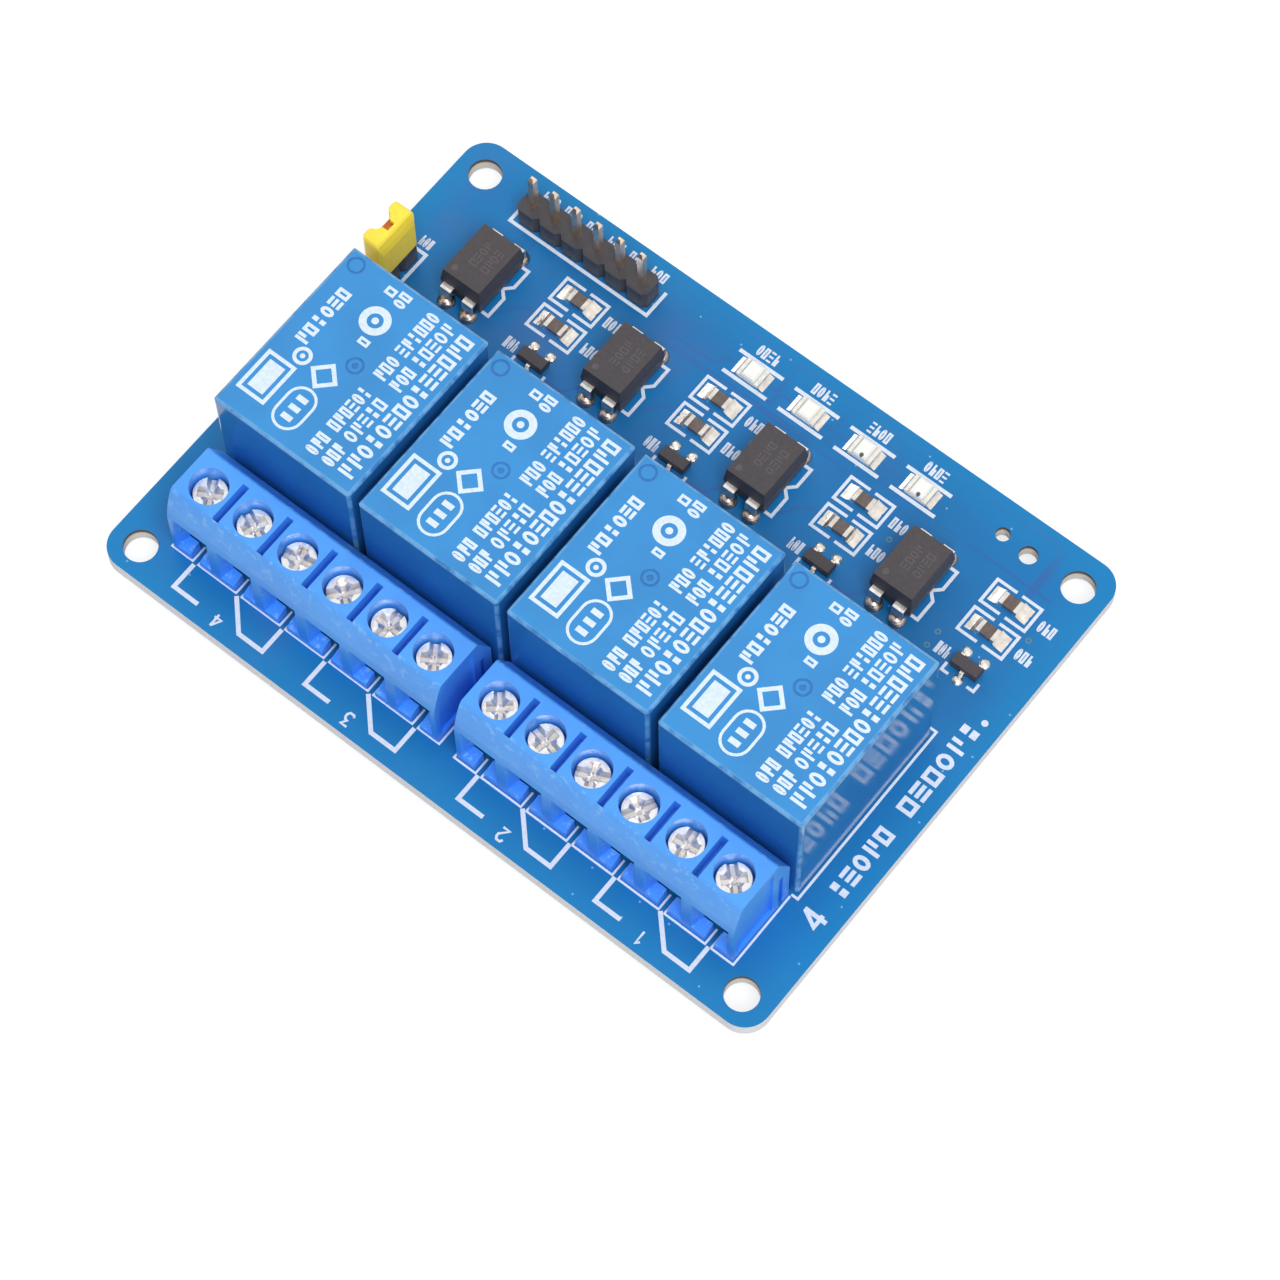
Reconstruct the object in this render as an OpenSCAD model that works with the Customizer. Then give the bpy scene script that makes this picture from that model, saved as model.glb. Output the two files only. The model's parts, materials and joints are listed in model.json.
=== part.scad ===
// Relay module board: four power relays, two screw terminal blocks, four optocouplers,
// a six pin control header and a supply jumper on one printed circuit board.
// The origin is the centre of the four mounting holes, on the underside of the board.
// X runs along the terminal blocks, Y from the terminals to the control header, Z up.

/* [Board] */
// Board left free at each end of the longer row of parts
side_margin = 4.775; // [3.8:0.025:9]
// Board left free in front of the terminal blocks
front_margin = 4.55; // [3:0.05:9]
// Depth of the board behind the relays
back_depth = 22.6; // [22:0.1:40]
// Thickness of the laminate
board_thickness = 1.6; // [1:0.2:2.4]
// Corner radius of the board
board_corner = 2.5; // [0.5:0.1:3]
// How far the board's middle lies behind the middle of the mounting holes
board_shift = 0.25; // [-0.5:0.05:0.5]
// Distance of the mounting holes from the ends of the board
hole_inset_x = 3; // [2.5:0.1:4]
// Distance of the mounting holes from the long edges, at equal shares
hole_inset_y = 3; // [2.8:0.1:4]
// Diameter of the mounting holes
hole_d = 3.2; // [2.2:0.1:4.2]
// Clearance between a lead and its plated hole, all round
lead_clearance = 0.15; // [0.05:0.05:0.3]
// How far the trimmed leads of relays and terminals stick out below the board
lead_tail = 1.8; // [1:0.1:3]

/* [Relays] */
// Width of a relay case along X
relay_width = 15.4; // [14:0.1:20]
// Length of a relay case along Y
relay_length = 19.1; // [18.5:0.1:24]
// Height of a relay case over its standoffs
relay_height = 15.4; // [15:0.1:20]
// Gap between neighbouring relays
relay_gap = 0.95; // [0.5:0.05:3]
// Wall of a relay case
relay_wall = 0.8; // [0.6:0.1:1.2]
// Edge radius of a relay case
relay_edge = 0.4; // [0.2:0.1:0.7]
// Height of the standoff feet under a relay
relay_foot = 0.3; // [0.2:0.1:1]
// Thickness of a relay's base plate
relay_floor = 1.6; // [1.2:0.1:2]
// Gap between the relays' front faces and the terminal blocks' backs
relay_to_block = 0.5; // [0.2:0.1:4]

/* [Terminal blocks] */
// Pitch of the poles
pole_pitch = 5.08; // [5:0.01:7.62]
// Poles in a block
poles = 6; // [2:1:8]
// Gap between the two blocks
block_gap = 2.2; // [0.8:0.1:6]
// Depth of a block at its foot
block_depth = 7.75; // [7.75:0.05:10]
// Height of a block
block_height = 10.2; // [10:0.1:14]
// Depth of a wire clamp's cage
cage_depth = 3.7; // [3.4:0.1:4.4]
// Diameter of a screw head
screw_head_d = 3.1; // [2.6:0.1:3.4]
// Diameter of the screw recess
screw_recess_d = 3.6; // [3:0.1:4]

/* [Optocouplers and small parts] */
// Body length of an optocoupler along Y
opto_length = 6.5; // [5.5:0.1:8]
// Body width of an optocoupler along X
opto_width = 4.6; // [4:0.1:6]
// Height of an optocoupler's top over the board
opto_top = 4; // [3:0.1:5]
// Row spacing of the optocoupler's leads
opto_row = 7.62; // [7.62:0.01:10.16]
// Gap from the relays to the optocouplers' first row of leads
opto_clear = 6.84; // [4:0.05:9]
// Body length of a resistor
resistor_length = 2; // [1.6:0.1:3.2]
// Body width of a resistor
resistor_width = 1.25; // [0.8:0.05:1.6]
// Length of a light emitting diode's body along X
led_length = 2.4; // [1.6:0.1:3.2]
// Width of a light emitting diode's body along Y
led_width = 1.9; // [1:0.1:2]
// Pitch of the light emitting diodes
led_pitch = 6.35; // [5:0.05:10]

/* [Pin headers] */
// Pitch of the header pins
pin_pitch = 2.54; // [2:0.01:2.54]
// Side of a square header pin
pin_side = 0.64; // [0.5:0.02:0.7]
// Height of a header's plastic body
header_height = 2.5; // [2:0.1:3]
// Length of a pin above its plastic body
pin_above = 5; // [4:0.1:7]
// Control pins
control_pins = 6; // [3:1:8]
// Width of the jumper cap
cap_width = 2.4; // [2.2:0.1:2.6]
// Height of the jumper cap
cap_height = 5.5; // [5.4:0.1:9]

/* [Hidden] */
$fn = 48;
e = 0.01;
relays = 4;
zb = board_thickness;

// the board is as long and as wide as what stands on it, with its margins
relay_pitch = relay_width + relay_gap;
block_length = poles * pole_pitch;
relay_row = relays * relay_pitch - relay_gap;
block_row = 2 * block_length + block_gap;
board_length = max(relay_row, block_row) + 2 * side_margin;
board_width = front_margin + block_depth + relay_to_block + relay_length + back_depth;
hole_spacing_x = board_length - 2 * hole_inset_x;
hole_spacing_y = board_width - 2 * hole_inset_y;
board_front = board_shift - board_width / 2;
board_back = board_shift + board_width / 2;
board_right = board_length / 2;

// relays
block_front = board_front + front_margin;
relay_front = block_front + block_depth + relay_to_block;
relay_back = relay_front + relay_length;
relay_y = relay_front + relay_length / 2;
relay_shell_z = zb + relay_foot;
relay_top = relay_shell_z + relay_height;
relay_in_w = relay_width - 2 * relay_wall;
relay_in_l = relay_length - 2 * relay_wall;
relay_in_top = relay_top - relay_wall - 0.1;
relay_floor_top = relay_shell_z + relay_floor;
coil_pin_x = relay_in_w / 2 - 0.9;
common_pin_y = relay_in_l / 2 - 1.65;
coil_pin_y = common_pin_y - 2;
contact_pin_x = coil_pin_x;
contact_pin_y = -common_pin_y;
contact_y = contact_pin_y + 0.7;
contact_d = 1.9;
yoke_t = 1.1;
yoke_w = 2 * coil_pin_x - 3.2;
yoke_back = common_pin_y + 0.5;
yoke_top = relay_in_top - 1.6;
core_d = 3.4;
core_top = yoke_top - 0.6;
bobbin_flange = 0.8;
bobbin_back = yoke_back - yoke_t - 0.15;
bobbin_front = contact_y + contact_d / 2 + 2.4;
coil_y = (bobbin_back + bobbin_front) / 2;
bobbin_depth = bobbin_back - bobbin_front;
coil_d = min(bobbin_depth, relay_in_w) - 0.6;
spring_t = 0.3;
make_z = yoke_top - 1.3;
break_z = yoke_top + 0.4;
blade_t = 0.4;

// terminal blocks, measured from a block's front face and foot
screw_seat = block_height - 2.85;
screw_sink = 1.3;
screw_y = cage_depth / 2 + 1.45;
shank_d = 2.4;
chamber_w = pole_pitch - 1.38;
chamber_front = screw_y - cage_depth / 2 - 0.15;
chamber_back = screw_y + cage_depth / 2 + 1;
chamber_top = screw_seat - 0.35;
floor_t = 0.9;
mouth_w = pole_pitch - 1.08;
mouth_top = block_height - 4;
mouth_d = chamber_front;
throat_w = mouth_w - 0.8;
slot_w = 1.1;
cage_w = chamber_w - 0.2;
cage_front = screw_y - cage_depth / 2;
cage_back = screw_y + cage_depth / 2;
cage_z0 = 1.4;
cage_z1 = chamber_top - 0.1;
cage_wall = 0.55;
strip_top = cage_z1 - 1.3;
strip_t = 0.6;
tail_w = 1;
tail_t = 0.6;
tail_y = chamber_back - 0.15 - tail_t / 2;

// small parts, measured from each relay's centre line in X
opto_dx = -2.55;
opto_y = relay_back + opto_clear + opto_row / 2;
opto_pitch = 2.54;
res_dx = 5.82;
res_y = [opto_y + 3.6, opto_y + 0.2];
tran_dx = 6.42;
tran_y = relay_back + opto_clear;
led_x0 = 7.82;
led_y = board_back - 4.36;

// headers
header_x = -21.1;
header_y = board_back - 4.05;
header_w = 2.5;
jumper_x = -board_right + 2.55;
jumper_y = opto_y - 5.4;
pin_below = board_thickness + 1.4;
cap_y = jumper_y + pin_pitch / 2;
cap_z = zb + header_height;
cap_wall_top = 0.45;
cap_notch_d = 3.8;

function relay_x(i) = (i - (relays - 1) / 2) * relay_pitch;
function block_x(b) = (b - 0.5) * (block_length + block_gap);
function pole_x(b, p) = block_x(b) + (p - (poles - 1) / 2) * pole_pitch;

relay_pins = [[-coil_pin_x, coil_pin_y], [coil_pin_x, coil_pin_y], [0, common_pin_y],
              [-contact_pin_x, contact_pin_y], [contact_pin_x, contact_pin_y]];
coil_pin = [0.6, 0.6];
contact_pin = [1, 0.5];
relay_pin_size = [coil_pin, coil_pin, contact_pin, contact_pin, contact_pin];
opto_pins = [for (sx = [-1, 1], sy = [-1, 1]) [sx * opto_pitch / 2, sy * opto_row / 2]];
opto_lead_w = 0.5;
opto_lead_t = 0.25;

blue_board = [0.16, 0.47, 0.74];
blue_relay = [0.24, 0.55, 0.86];
blue_block = [0.27, 0.6, 1];
dark_body = [0.27, 0.27, 0.28];
tin = [0.8, 0.8, 0.78];

module rounded_plate(l, w, h, r) {
    linear_extrude(h) union() {
        square([l - 2 * r, w], center = true);
        square([l, w - 2 * r], center = true);
        for (sx = [-1, 1], sy = [-1, 1]) translate([sx * (l / 2 - r), sy * (w / 2 - r)]) circle(r);
    }
}

// Outline of a box with its two upper corners rounded, standing on y = 0
module arched(w, h, r) {
    union() {
        translate([-w / 2, 0]) square([w, h - r]);
        translate([-w / 2 + r, 0]) square([w - 2 * r, h]);
        for (s = [-1, 1]) translate([s * (w / 2 - r), h - r]) circle(r);
    }
}

// A box standing on z = 0 with rounded upright and upper edges
module soft_box(l, w, h, r) {
    intersection() {
        rounded_plate(l, w, h, r);
        translate([0, w / 2 + 1, 0]) rotate([90, 0, 0]) linear_extrude(w + 2) arched(l, h, r);
        translate([-l / 2 - 1, 0, 0]) rotate([90, 0, 90]) linear_extrude(l + 2) arched(w, h, r);
    }
}

// A box given by its lower corner and its upper corner
module span(a, b) {
    translate(a) cube([b[0] - a[0], b[1] - a[1], b[2] - a[2]]);
}

// A box centred in x and y on the middle, from z0 to z1
module post(x, y, sx, sy, z0, z1) {
    translate([x - sx / 2, y - sy / 2, z0]) cube([sx, sy, z1 - z0]);
}

module on_board() {
    translate([0, 0, zb]) children();
}

// ---- board ----

module lead_hole(x, y, d) {
    translate([x, y, -1]) cylinder(d = d + 2 * lead_clearance, h = zb + 2);
}

module board() {
    difference() {
        translate([0, board_shift, 0]) rounded_plate(board_length, board_width, zb, board_corner);
        for (sx = [-1, 1], sy = [-1, 1])
            translate([sx * hole_spacing_x / 2, sy * hole_spacing_y / 2, -1])
                cylinder(d = hole_d, h = zb + 2);
        translate([board_right - 11.35, board_back - 3.2, -1]) cylinder(d = 1.4, h = zb + 2);
        translate([board_right - 8.35, board_back - 3.45, -1]) cylinder(d = 1.8, h = zb + 2);
        for (i = [0:3]) {
            for (p = relay_pins) lead_hole(relay_x(i) + p[0], relay_y + p[1], 1.12);
            for (p = opto_pins) lead_hole(relay_x(i) + opto_dx + p[0], opto_y + p[1], 0.7);
        }
        for (b = [0, 1], p = [0:poles - 1]) lead_hole(pole_x(b, p), block_front + tail_y, 1.17);
        for (i = [0:control_pins - 1]) lead_hole(control_pin_x(i), header_y, 0.9);
        for (i = [-1:1]) lead_hole(jumper_x, jumper_y + i * pin_pitch, 0.9);
    }
}

// Solder cone under the board round one lead of size s
module solder_cone(x, y, d, s, h = 0.9) {
    translate([x, y, 0]) difference() {
        rotate([180, 0, 0]) rotate_extrude($fn = 32)
            polygon([[0, 0], [d / 2, 0], [d / 2 - 0.12, 0.16], [d * 0.33, 0.42], [d * 0.27, h], [0, h]]);
        translate([-s[0] / 2, -s[1] / 2, -h - 1]) cube([s[0], s[1], h + 2]);
    }
}

module solder() {
    for (i = [0:3]) {
        for (k = [0:4])
            solder_cone(relay_x(i) + relay_pins[k][0], relay_y + relay_pins[k][1],
                2.6, relay_pin_size[k], 1.1);
        for (p = opto_pins)
            solder_cone(relay_x(i) + opto_dx + p[0], opto_y + p[1], 1.7, [opto_lead_w, opto_lead_t]);
    }
    for (b = [0, 1], p = [0:poles - 1])
        solder_cone(pole_x(b, p), block_front + tail_y, 2.5, [tail_w, tail_t], 1.1);
    for (i = [0:control_pins - 1]) solder_cone(control_pin_x(i), header_y, 1.8, [pin_side, pin_side]);
    for (i = [-1:1]) solder_cone(jumper_x, jumper_y + i * pin_pitch, 1.8, [pin_side, pin_side]);
}

// ---- relays ----

module relay_case() {
    translate([0, 0, relay_shell_z]) difference() {
        soft_box(relay_width, relay_length, relay_height, relay_edge);
        post(0, 0, relay_in_w, relay_in_l, -1, relay_in_top - relay_shell_z);
        // ejector marks in the top face
        for (p = [[0, 0.48], [1.4 - relay_width / 2, relay_length / 2 - 1.4]])
            translate([p[0], p[1], relay_height - 0.08]) difference() {
                cylinder(r = 0.85, h = 1);
                cylinder(r = 0.62, h = 3, center = true);
            }
        translate([0, 0.48, relay_height - 0.08]) cylinder(r = 0.3, h = 1);
    }
}

module relay_base() {
    difference() {
        union() {
            post(0, 0, relay_in_w, relay_in_l, relay_shell_z, relay_floor_top);
            for (sx = [-1, 1], sy = [-1, 1])
                translate([sx * (relay_in_w / 2 - 1.2), sy * (relay_in_l / 2 - 4.2), zb])
                    cylinder(d = 1.4, h = relay_foot + 0.2);
        }
        for (k = [0:4])
            post(relay_pins[k][0], relay_pins[k][1], relay_pin_size[k][0], relay_pin_size[k][1], zb - 1,
                relay_floor_top + 1);
    }
}

module relay_yoke() {
    w = yoke_w / 2;
    union() {
        span([-w, bobbin_front + 0.5, relay_floor_top], [w, yoke_back, relay_floor_top + yoke_t]);
        span([-w, yoke_back - yoke_t, relay_floor_top], [w, yoke_back, yoke_top]);
        translate([0, coil_y, relay_floor_top]) cylinder(d = core_d, h = core_top - relay_floor_top);
    }
}

module relay_coil() {
    z0 = relay_floor_top + yoke_t;
    z1 = core_top - 0.2;
    difference() {
        union() {
            span([-coil_pin_x - 0.6, bobbin_front, z0],
                [coil_pin_x + 0.6, bobbin_back, z0 + bobbin_flange]);
            post(0, coil_y, yoke_w + 0.8, bobbin_depth, z1 - bobbin_flange, z1);
            translate([0, coil_y, z0]) cylinder(d = coil_d, h = z1 - z0);
        }
        translate([0, coil_y, z0 - 1]) cylinder(d = core_d, h = z1 - z0 + 2);
    }
}

module relay_armature() {
    union() {
        // iron plate, hinged on the yoke's upper edge
        span([-yoke_w / 2 + 0.2, bobbin_front + 1.5, yoke_top],
            [yoke_w / 2 - 0.2, yoke_back, yoke_top + 1.1]);
        // contact spring under it, with the moving contact
        span([-1.6, contact_y - 1, yoke_top - spring_t], [1.6, coil_y + 2.4, yoke_top]);
        translate([0, contact_y, yoke_top - spring_t - 0.35]) cylinder(d = contact_d, h = spring_t + 0.75);
    }
}

// Fixed contact blade: s = -1 is the break contact above the spring, s = 1 the make contact below
module contact_blade(s) {
    z = s < 0 ? break_z + 0.35 : make_z - 0.35 - blade_t;
    x = s * contact_pin_x;
    union() {
        post(x, contact_pin_y, contact_pin[0], contact_pin[1], -lead_tail, z + blade_t);
        span([min(x - 0.5, -1), contact_pin_y - contact_pin[1] / 2, z],
             [max(x + 0.5, 1), contact_y + 0.9, z + blade_t]);
        translate([0, contact_y, s < 0 ? break_z : z]) cylinder(d = contact_d, h = blade_t + 0.35);
    }
}

module relay_leads() {
    for (k = [0, 1])
        post(relay_pins[k][0], relay_pins[k][1], coil_pin[0], coil_pin[1],
            -lead_tail, relay_floor_top + yoke_t);
    post(0, common_pin_y, contact_pin[0], contact_pin[1], -lead_tail, relay_floor_top);
    contact_blade(-1);
    contact_blade(1);
}

// ---- terminal blocks ----

// Side profile of a block, front face at 0, foot at 0
module block_profile() {
    h = block_height;
    d = block_depth;
    polygon([[0, 0], [0, h - 4.3], [0.06, h - 3.8], [0.18, h - 3], [0.4, h - 2.1], [0.72, h - 1.1],
             [1.08, h - 0.25], [1.3, h], [d - 1.75, h], [d - 1.55, h - 0.15], [d - 0.15, h - 3.1],
             [d, h - 3.5], [d, 0]]);
}

// Funnel of one wire entry, wide at the front face
module wire_mouth() {
    w0 = mouth_w / 2;
    w1 = throat_w / 2;
    intersection() {
        translate([0, 0, -1]) linear_extrude(block_height)
            polygon([[-w0, -e], [w0, -e], [w1, mouth_d + e], [-w1, mouth_d + e]]);
        translate([-pole_pitch, 0, 0]) rotate([90, 0, 90]) linear_extrude(2 * pole_pitch)
            polygon([[-e, floor_t], [-e, mouth_top], [mouth_d + e, mouth_top - 1],
                     [mouth_d + e, floor_t + 0.5]]);
    }
}

module one_pole_cut() {
    wire_mouth();
    // slot in the floor of the mouth, open to the board
    span([-slot_w / 2, -1, -1], [slot_w / 2, chamber_front + 0.5, floor_t + 0.6]);
    // chamber of the wire clamp, open below
    span([-chamber_w / 2, chamber_front, -1], [chamber_w / 2, chamber_back, chamber_top]);
    // screw recess over its shoulder
    translate([0, screw_y, chamber_top - 1]) cylinder(d = shank_d + 0.2, h = block_height);
    translate([0, screw_y, screw_seat]) cylinder(d = screw_recess_d, h = block_height);
}

module terminal_housing(b) {
    translate([block_x(b), block_front, zb]) {
        difference() {
            translate([-block_length / 2, 0, 0])
                rotate([90, 0, 90]) linear_extrude(block_length) block_profile();
            for (p = [0:poles - 1]) translate([(p - (poles - 1) / 2) * pole_pitch, 0, 0]) one_pole_cut();
            // narrow slits between the screws
            for (p = [1:poles - 1])
                span([(p - poles / 2) * pole_pitch - 0.35, 1.15, block_height - 2.2],
                     [(p - poles / 2) * pole_pitch + 0.35, screw_y + 2.05, block_height + 1]);
            // shallow panel and joining groove in the right end
            translate([block_length / 2 - 0.3, 0, 0]) rotate([90, 0, 90]) linear_extrude(1)
                polygon([[0.6, 0.8], [0.6, 5.8], [0.85, 7.4], [1.7, block_height - 0.9],
                         [block_depth - 2.3, block_height - 0.9], [block_depth - 2.3, 0.8]]);
            span([block_length / 2 - 0.5, block_depth - 1.45, -1],
                [block_length / 2 + 1, block_depth - 0.9, 6.4]);
        }
        // joining rib on the left end
        span([-block_length / 2 - 0.4, block_depth - 1.4, 0], [-block_length / 2, block_depth - 0.95, 6.2]);
    }
}

// Arm of a screw's cross recess, narrower towards its bottom
module recess_arm(len) {
    translate([0, len / 2, 0]) rotate([90, 0, 0]) linear_extrude(len)
        polygon([[-0.56, 0.1], [-0.5, 0], [-0.2, -0.55], [0.2, -0.55], [0.5, 0], [0.56, 0.1]]);
}

// Cross recess with one arm right across, as on plus-minus terminal screws
module cross_recess() {
    recess_arm(screw_head_d + 1);
    rotate([0, 0, 90]) recess_arm(0.76 * screw_head_d);
    translate([0, 0, -0.75]) cylinder(r1 = 0.2, r2 = 1, h = 0.8);
}

module terminal_screws(b) {
    for (p = [0:poles - 1]) translate([pole_x(b, p), block_front + screw_y, zb]) difference() {
        union() {
            translate([0, 0, screw_seat]) cylinder(d = screw_head_d,
                h = block_height - screw_sink - screw_seat);
            translate([0, 0, strip_top]) cylinder(d = shank_d, h = screw_seat - strip_top + e);
        }
        translate([0, 0, block_height - screw_sink]) rotate([0, 0, 30 + 37 * p + 11 * b]) cross_recess();
    }
}

module wire_clamps(b) {
    for (p = [0:poles - 1]) translate([pole_x(b, p), block_front, zb]) difference() {
        span([-cage_w / 2, cage_front, cage_z0], [cage_w / 2, cage_back, cage_z1]);
        span([-cage_w / 2 + cage_wall, cage_front - 1, cage_z0 + 0.9],
            [cage_w / 2 - cage_wall, cage_back + 1, strip_top]);
        translate([0, screw_y, strip_top - 1]) cylinder(d = shank_d, h = 5);
    }
}

module terminal_tails(b) {
    for (p = [0:poles - 1]) translate([pole_x(b, p), block_front, zb]) union() {
        span([-cage_w / 2 + cage_wall + 0.1, cage_front, strip_top - strip_t],
             [cage_w / 2 - cage_wall - 0.1, tail_y + tail_t / 2, strip_top]);
        post(0, tail_y, tail_w, tail_t, -zb - lead_tail, strip_top);
    }
}

// ---- optocouplers ----

module opto_body() {
    z0 = 0.5;
    zm = 2.3;
    w = opto_width / 2;
    l = opto_length / 2;
    translate([0, 0, zb]) intersection() {
        translate([0, l + 1, 0]) rotate([90, 0, 0]) linear_extrude(2 * l + 2)
            polygon([[-w + 0.2, z0], [w - 0.2, z0], [w, zm], [w - 0.2, opto_top], [-w + 0.2, opto_top],
                     [-w, zm]]);
        translate([-w - 1, 0, 0]) rotate([90, 0, 90]) linear_extrude(2 * w + 2)
            polygon([[-l + 0.25, z0], [l - 0.25, z0], [l, zm], [l - 0.25, opto_top],
                     [-l + 0.25, opto_top], [-l, zm]]);
    }
}

// One lead bent down from the body's side; sy picks the side
module opto_lead(sy) {
    a = opto_length / 2;
    b = opto_row / 2 + opto_lead_t / 2;
    t = opto_lead_t;
    zm = 2.3;
    mirror([0, sy < 0 ? 1 : 0, 0]) union() {
        rotate([90, 0, 90]) translate([0, 0, -0.6]) linear_extrude(1.2)
            polygon([[a, zm], [b - 0.35, zm], [b - 0.1, zm - 0.1], [b, zm - 0.35], [b, 0.9], [b - t, 0.9],
                     [b - t, zm - 0.38], [b - t - 0.05, zm - t], [a, zm - t]]);
        span([-opto_lead_w / 2, b - t, -zb - 1.3], [opto_lead_w / 2, b, 0.95]);
    }
}

module opto_leads() {
    for (sx = [-1, 1], sy = [-1, 1])
        translate([sx * opto_pitch / 2, 0, zb]) opto_lead(sy);
}

// ---- surface mounted parts ----

module transistor_body() {
    intersection() {
        translate([0, 2, 0]) rotate([90, 0, 0]) linear_extrude(4)
            polygon([[-1.38, 0.05], [1.38, 0.05], [1.45, 0.55], [1.38, 1.05], [-1.38, 1.05],
                     [-1.45, 0.55]]);
        translate([-2, 0, 0]) rotate([90, 0, 90]) linear_extrude(4)
            polygon([[-0.58, 0.05], [0.58, 0.05], [0.65, 0.55], [0.55, 1.05], [-0.55, 1.05],
                     [-0.65, 0.55]]);
    }
}

module transistor_lead(x, s) {
    translate([x, 0, 0]) mirror([0, s < 0 ? 1 : 0, 0]) rotate([90, 0, 90]) translate([0, 0,
        -0.2]) linear_extrude(0.4)
        polygon([[0.63, 0.48], [0.78, 0.48], [0.9, 0], [1.25, 0], [1.25, 0.13], [1, 0.13], [0.87, 0.62],
                 [0.63, 0.62]]);
}

module each_transistor() {
    for (i = [0:3]) translate([relay_x(i) + tran_dx, tran_y, zb]) children();
}

module each_resistor() {
    for (i = [0:3], y = res_y) translate([relay_x(i) + res_dx, y, zb]) children();
}

module each_led() {
    for (i = [0:3]) translate([led_x0 + (i - 1.5) * led_pitch, led_y, zb]) children();
}

module resistor_body() {
    l = resistor_length - 0.8;
    post(0, 0, l, resistor_width, 0.04, 0.55);
}

module resistor_ends() {
    for (s = [-1, 1]) mirror([s < 0 ? 1 : 0, 0, 0])
        span([resistor_length / 2 - 0.4, -resistor_width / 2, 0],
            [resistor_length / 2, resistor_width / 2, 0.58]);
}

// Solder fillet running down from the end of a chip part, w wide and h high
module fillet(x, w, h, len) {
    translate([x, w / 2, 0]) rotate([90, 0, 0]) linear_extrude(w)
        polygon([[0, 0], [0, h], [len * 0.16, h * 0.66], [len * 0.4, h * 0.34], [len * 0.7, h * 0.14],
                 [len, 0]]);
}

module chip_fillets(x, w, h, len) {
    for (s = [-1, 1]) mirror([s < 0 ? 1 : 0, 0, 0]) fillet(x, w, h, len);
}

module surface_solder() {
    each_resistor() chip_fillets(resistor_length / 2, resistor_width + 0.4, 0.46, 1.05);
    each_led() chip_fillets(led_length / 2, led_width - 0.05, 0.42, 0.6);
    each_transistor() {
        for (x = [-0.95, 0.95]) translate([x, 1.25, 0]) rotate([0, 0, 90]) fillet(0, 0.75, 0.22, 0.5);
        translate([0, -1.25, 0]) rotate([0, 0, -90]) fillet(0, 0.75, 0.22, 0.5);
    }
}

// Carrier with a raised contact at each end
module led_base() {
    union() {
        post(0, 0, led_length, led_width, 0, 0.3);
        for (s = [-1, 1]) post(s * (led_length / 2 - 0.18), 0, 0.36, led_width, 0, 0.46);
    }
}

module led_lens() {
    w = led_width / 2;
    l = led_length / 2 - 0.42;
    intersection() {
        translate([0, w, 0]) rotate([90, 0, 0]) linear_extrude(2 * w)
            polygon([[-l, 0.3], [l, 0.3], [l - 0.06, 0.74], [l - 0.2, 0.9], [l - 0.4, 0.95],
                     [0.4 - l, 0.95],
                     [0.2 - l, 0.9], [0.06 - l, 0.74]]);
        translate([-l, 0, 0]) rotate([90, 0, 90]) linear_extrude(2 * l)
            polygon([[-w, 0.3], [w, 0.3], [w, 0.66], [w - 0.1, 0.84], [w - 0.3, 0.95], [0.3 - w, 0.95],
                     [0.1 - w, 0.84], [-w, 0.66]]);
    }
}

// ---- headers and jumper ----

function control_pin_x(i) = header_x + (i - (control_pins - 1) / 2) * pin_pitch;

// Strip of n notched cells along X with square pin holes, standing on the board
module header_strip(n) {
    c = 0.45;
    w = header_w / 2;
    h = pin_pitch / 2;
    front = [for (i = [0:n - 1]) let (x = (i - (n - 1) / 2) * pin_pitch)
        each [[x - h, -w + c], [x - h + c, -w], [x + h - c, -w], [x + h, -w + c]]];
    back = [for (i = [n - 1:-1:0]) let (x = (i - (n - 1) / 2) * pin_pitch)
        each [[x + h, w - c], [x + h - c, w], [x - h + c, w], [x - h, w - c]]];
    difference() {
        linear_extrude(header_height) polygon(concat(front, back));
        for (i = [0:n - 1]) post((i - (n - 1) / 2) * pin_pitch, 0, pin_side, pin_side, -1,
            header_height + 1);
    }
}

// Square pin with four-sided points at both ends
module header_pin() {
    z0 = -pin_below;
    z1 = header_height + pin_above;
    s = pin_side / 2;
    outline = [[-s, z0 + 0.5], [-s * 0.4, z0], [s * 0.4, z0], [s, z0 + 0.5], [s, z1 - 0.5], [s * 0.4, z1],
               [-s * 0.4, z1], [-s, z1 - 0.5]];
    intersection() {
        translate([0, 1, 0]) rotate([90, 0, 0]) linear_extrude(2) polygon(outline);
        translate([-1, 0, 0]) rotate([90, 0, 90]) linear_extrude(2) polygon(outline);
    }
}

// Outline of the jumper cap from above: two round lobes with a round notch between them
module cap_outline(w, l) {
    r = 0.72;
    c = 0.3;
    union() {
        polygon([[r - w, -l], [w - c, -l], [w, c - l], [w, l - c], [w - c, l], [r - w, l]]);
        for (s = [-1, 1]) translate([r - w, s * (l - r)]) circle(r);
    }
}

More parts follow.
